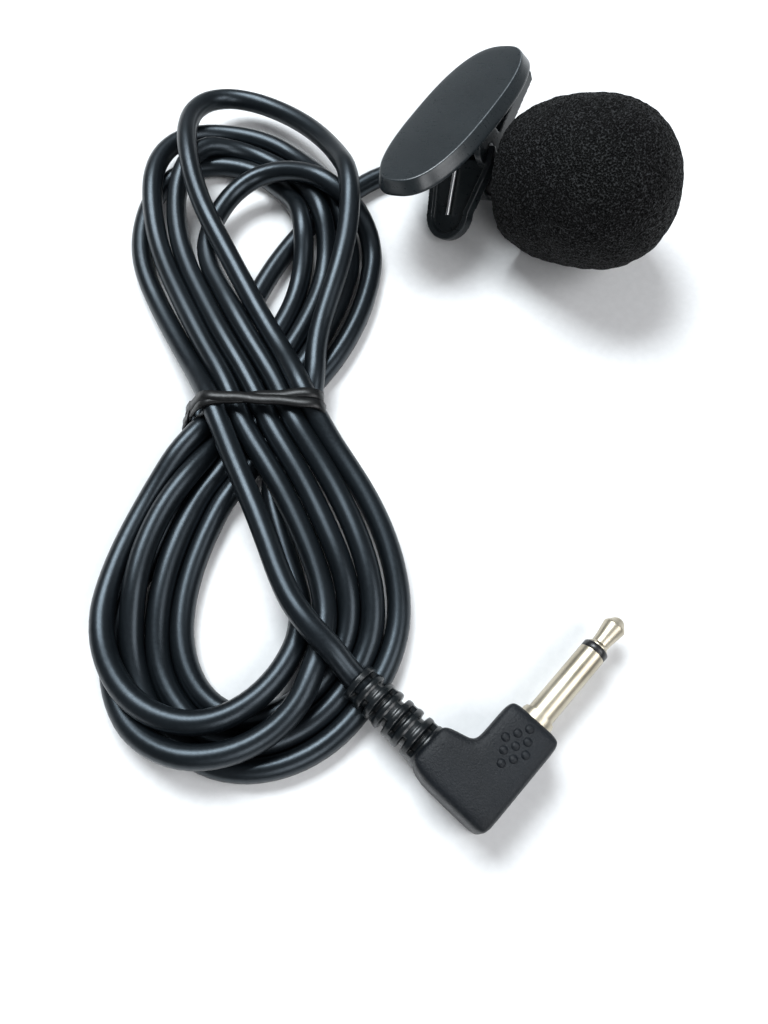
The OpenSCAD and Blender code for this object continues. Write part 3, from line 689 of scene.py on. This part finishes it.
def plate_shell():
    """The plate itself: a slightly crowned top, a crisp edge, a drafted skirt and a flat underside."""
    rings = [(f, CRISP, PLATE_TOP - CROWN * f * f) for f in CROWN_RINGS]
    rings += [(1, inset, z) for inset, z in SKIRT]
    rings += [(f, CRISP, PLATE_UNDER) for f in UNDER_RINGS]
    n = PLATE_AROUND
    points = [(0, 0, PLATE_TOP)]
    for f, inset, z in rings:
        outline = oval(PLATE_HALF_X - inset, PLATE_HALF_Y - inset, n, PLATE_POWER)
        points += [(x * f, y * f, z) for x, y in outline]
    points.append((0, 0, PLATE_UNDER))
    last = 1 + (len(rings) - 1) * n
    faces = [(0, 1 + k, 1 + (k + 1) % n) for k in range(n)]
    faces += [(1 + a, 1 + d, 1 + c, 1 + b) for a, b, c, d in ring_faces(len(rings), n)]
    faces += [(last + k, last + n, last + (k + 1) % n) for k in range(n)]
    return points, faces


def plate_piece():
    """The outer plate with its two lugs and its teeth."""
    points, faces = plate_shell()
    lug = [(LUG_R * math.sin(t), -LUG_R * math.cos(t)) for t in np.linspace(-1.5, 1.5, 15)] + LUG_ROOT
    extra = [prism(lug, LUG_INSIDE, LUG_OUTSIDE), prism(lug, -LUG_OUTSIDE, -LUG_INSIDE)]
    for i in range(TEETH):
        y = TOOTH_Y + TOOTH_PITCH * i
        extra.append(prism([(y + dy, z) for dy, z in TOOTH], -TOOTH_HALF_X, TOOTH_HALF_X))
    for new_points, new_faces in extra:
        faces += [tuple(v + len(points) for v in face) for face in new_faces]
        points += new_points
    ob = mesh_object("plate_shell", on_pin(points), faces)
    # The crisp edge is marked, so that a paler painted highlight can be laid along it, stronger towards one
    # end of the pin
    mark = ob.data.attributes.new("edge", "FLOAT", "POINT")
    first = 1 + GLINT_RING * PLATE_AROUND
    for k in range(first, first + PLATE_AROUND):
        mark.data[k].value = max(0.0, min(1.0, 0.5 + points[k][0] / 4))
    return ob


def remeshed(raw, voxel, rounds):
    """The mesh of an object, rebuilt evenly and smoothed; the object itself is dropped."""
    remesh = raw.modifiers.new("remesh", "REMESH")
    remesh.mode = "VOXEL"
    remesh.voxel_size = voxel * MM
    smooth = raw.modifiers.new("smooth", "SMOOTH")
    smooth.factor = 0.5
    smooth.iterations = rounds
    graph = bpy.context.evaluated_depsgraph_get()
    done = bpy.data.meshes.new_from_object(raw.evaluated_get(graph))
    bpy.data.objects.remove(raw)
    done.shade_smooth()
    return done


def softened(name, node, voxel, rounds):
    """A copy of a moulded CAD part whose sharp edges are rounded off, as the mould leaves them."""
    bm = bmesh.new()
    bm.from_mesh(NODES[node].data)
    bmesh.ops.remove_doubles(bm, verts=bm.verts, dist=2e-6)
    data = bpy.data.meshes.new(name + "_raw")
    bm.to_mesh(data)
    bm.free()
    return linked(name, remeshed(linked(name + "_raw", data), voxel, rounds))


plate = plate_piece()
dress(plate, "clip_plastic", "clip_outer", "clip_plate")
inner = softened("inner_half", "clip_inner_half", voxel=0.16, rounds=3)
dress(inner, "clip_plastic", "clip_inner", "clip_inner_half")

# ---------------------------------------------------------------- ribbed boot, in the plug's frame (mm)
BOOT_FROM, BOOT_TO, RIBS = 7.4, 19.4, 7
BOOT_R, BOOT_END_R = 2.95, 2.5
RIB_PITCH = (BOOT_TO - BOOT_FROM) / (RIBS + 0.5)
BOOT_AROUND, BOOT_RINGS = 96, 150
# The boot starts inside the body, a little slimmer
BOOT_FOOT, FOOT_DROP = 0.4, 0.15
# Within each pitch: a rib, then a groove with sloped walls
GROOVE_FROM, GROOVE_TO, GROOVE_WALL, GROOVE_DEPTH = 0.50, 0.98, 0.07, 0.80
BRIDGE_DEPTH, BRIDGE_FROM, RIB_EASE = 0.16, 0.45, 0.10
# The last rib's end is eased, and its face closes in on the cord
COLLAR_FROM, COLLAR_WIDTH, COLLAR_EASE = 0.4, 0.1, 0.175
BOOT_FACE = ((CORD_D / 2 + 0.25, BOOT_TO + 0.02), (CORD_D / 2 - 0.05, BOOT_TO - 0.15))


def boot_radius(y, t):
    """The boot's radius at y and at the angle t: ribs joined by bridges in rows that alternate."""
    u = (y - BOOT_FROM) / RIB_PITCH
    rib = math.floor(u)
    f = u - rib
    base = BOOT_R + (BOOT_END_R - BOOT_R) * min(1, max(0, (y - BOOT_FROM) / (BOOT_TO - BOOT_FROM)))
    if rib >= RIBS:
        return base - COLLAR_EASE * (max(0, f - COLLAR_FROM) / COLLAR_WIDTH) ** 2
    if u < 0:
        return base - FOOT_DROP
    down = min(1, max(0, (f - GROOVE_FROM) / GROOVE_WALL))
    up = min(1, max(0, (GROOVE_TO - f) / GROOVE_WALL))
    inside = down * up
    bridged = math.cos(2 * t + (math.pi if rib % 2 else 0)) > BRIDGE_FROM
    eased = RIB_EASE * (1 - inside) * abs(2 * min(f, GROOVE_FROM) / GROOVE_FROM - 1) ** 3
    return base - inside * (BRIDGE_DEPTH if bridged else GROOVE_DEPTH) - eased


def boot_piece():
    """Ribs joined by two rows of bridges that alternate, so that windows open between them."""
    points = []
    for y in np.linspace(BOOT_FROM - BOOT_FOOT, BOOT_TO, BOOT_RINGS):
        for t in circle(BOOT_AROUND):
            r = boot_radius(y, t)
            points.append((r * math.cos(t), y, r * math.sin(t)))
    for r, y in BOOT_FACE:
        points += [(r * math.cos(t), y, r * math.sin(t)) for t in circle(BOOT_AROUND)]
    faces = ring_faces(BOOT_RINGS + len(BOOT_FACE), BOOT_AROUND)
    return mesh_object("boot_ribs", on_plug(points), faces)


boot = boot_piece()
dress(boot, "boot_pvc", "microphone", "plug_boot")

# ---------------------------------------------------------------- angled body and insulating ring (mm)
BODY_HALF_Y, BODY_HALF_Z, BODY_HEEL, BODY_FACE = 3.8, 4.05, -3.6, 10.9
BODY_NECK, NECK_END = 2.9, 7.9
BODY_PLAN = [
    (BODY_HEEL, -BODY_HALF_Y), (BODY_FACE, -BODY_HALF_Y), (BODY_FACE, BODY_HALF_Y),
    (BODY_HALF_Y + 0.3, BODY_HALF_Y), (BODY_HALF_Y, BODY_HALF_Y + 0.3), (BODY_HALF_Y, 5.0),
    (BODY_NECK, NECK_END), (-BODY_NECK, NECK_END), (BODY_HEEL, 5.4),
]
# The raised dots: a diamond of rows on the upper face
DOT_ROWS, DOT_PITCH, DOTS_X = (1, 2, 3, 2, 1), 1.5, 6.6
DOT_R, DOT_H, DOT_Z = 0.62, 0.4, 3.86
DOT_AROUND, DOT_UP = 20, 6
# The insulating ring: flush with the sleeve, with eased edges, and faces that reach in to its bore
BAND_FROM, BAND_TO, BAND_R, BAND_BORE = 22.7, 23.7, 1.74, 1.2
BAND_EASE, BAND_AROUND = 0.12, 96


def plug_matrix():
    """The plug's frame as a matrix, in metres."""
    return Matrix.Translation(Vector(PLUG_AT) * MM) @ Matrix.Rotation(PLUG_TURN, 4, "Z")


def add_dot(bm, cx, cy):
    """One domed dot, added to a mesh that is in the part's frame."""
    rings = []
    for j in range(DOT_UP):
        a = j / DOT_UP * math.pi / 2
        r, z = DOT_R * math.cos(a), DOT_Z + DOT_H * math.sin(a)
        ring = [(cx + r * math.cos(t), cy + r * math.sin(t), z) for t in circle(DOT_AROUND)]
        rings.append([bm.verts.new(Vector(p) * MM) for p in on_plug(ring)])
    for low, high in zip(rings[:-1], rings[1:]):
        for k in range(DOT_AROUND):
            n = (k + 1) % DOT_AROUND
            bm.faces.new((low[k], low[n], high[n], high[k])).smooth = True
    bm.faces.new(rings[-1]).smooth = True


def body_piece():
    """The angled body with well-rounded edges, and a diamond of raised dots on its upper face."""
    block = mesh_object("body_block", *prism_up(BODY_PLAN, -BODY_HALF_Z, BODY_HALF_Z))
    solid = remeshed(block, voxel=0.28, rounds=90)
    solid.transform(plug_matrix())
    bm = bmesh.new()
    bm.from_mesh(solid)
    for i, count in enumerate(DOT_ROWS):
        for k in range(count):
            add_dot(bm, DOTS_X + (i - 2) * DOT_PITCH * 0.87, (k - (count - 1) / 2) * DOT_PITCH)
    bm.to_mesh(solid)
    bm.free()
    solid.name = "angled_body"
    return linked("angled_body", solid)


def band_piece():
    """The insulating ring of the plug."""
    profile = [(BAND_FROM, BAND_BORE), (BAND_FROM, BAND_R - BAND_EASE), (BAND_FROM + BAND_EASE, BAND_R),
               (BAND_TO - BAND_EASE, BAND_R), (BAND_TO, BAND_R - BAND_EASE), (BAND_TO, BAND_BORE)]
    points = [(x, r * math.cos(t), r * math.sin(t)) for x, r in profile for t in circle(BAND_AROUND)]
    return mesh_object("band_ring", on_plug(points), ring_faces(len(profile), BAND_AROUND))


body = body_piece()
dress(body, "plug_moulding", "microphone", "plug_body")
band = band_piece()
dress(band, "plug_insulator", "microphone", "plug_ring")

# ---------------------------------------------------------------- floor and lights
FLOOR_HALF = 3
floor_data = bpy.data.meshes.new("floor")
corners = [(-FLOOR_HALF, -FLOOR_HALF, 0), (FLOOR_HALF, -FLOOR_HALF, 0), (FLOOR_HALF, FLOOR_HALF, 0),
           (-FLOOR_HALF, FLOOR_HALF, 0)]
floor_data.from_pydata(corners, [], [(0, 1, 2, 3)])
floor = linked("floor", floor_data)
paper = Paint("floor_paper")
paper_colour = paper.ramp(paper.noise(900), (0.35, (0.80, 0.80, 0.80)), (0.7, (0.84, 0.84, 0.84)))
paper_rough = paper.remap(paper.noise(400), (0.3, 0.7), (0.7, 0.85))
paper_normal = paper.bump(paper.noise(3000), 0.05, 0.00002)
floor.data.materials.append(paper.finish(paper_colour, paper_rough, paper_normal))


def area_light(name, at, size, power, colour):
    """A soft light at a place of the photograph's frame in mm, with its two sides in metres."""
    data = bpy.data.lights.new(name, "AREA")
    data.energy = power
    data.color = colour
    data.shape = "RECTANGLE"
    data.size, data.size_y = size
    aimed(bpy.data.objects.new(name, data), at)


area_light("key", (-150, 300, 520), (0.36, 0.26), 5.2, (0.90, 0.96, 1.0))
area_light("fill", (380, -120, 420), (0.3, 0.3), 1.5, (0.97, 0.98, 1.0))
area_light("low", (120, -360, 330), (0.22, 0.22), 0.75, (0.97, 0.98, 1.0))
scene.view_settings.view_transform = "Standard"
scene.world = bpy.data.worlds.new("world")
scene.world.use_nodes = True
background = scene.world.node_tree.nodes["Background"]
background.inputs["Color"].default_value = (0.92, 0.95, 1.0, 1)
background.inputs["Strength"].default_value = 0.15
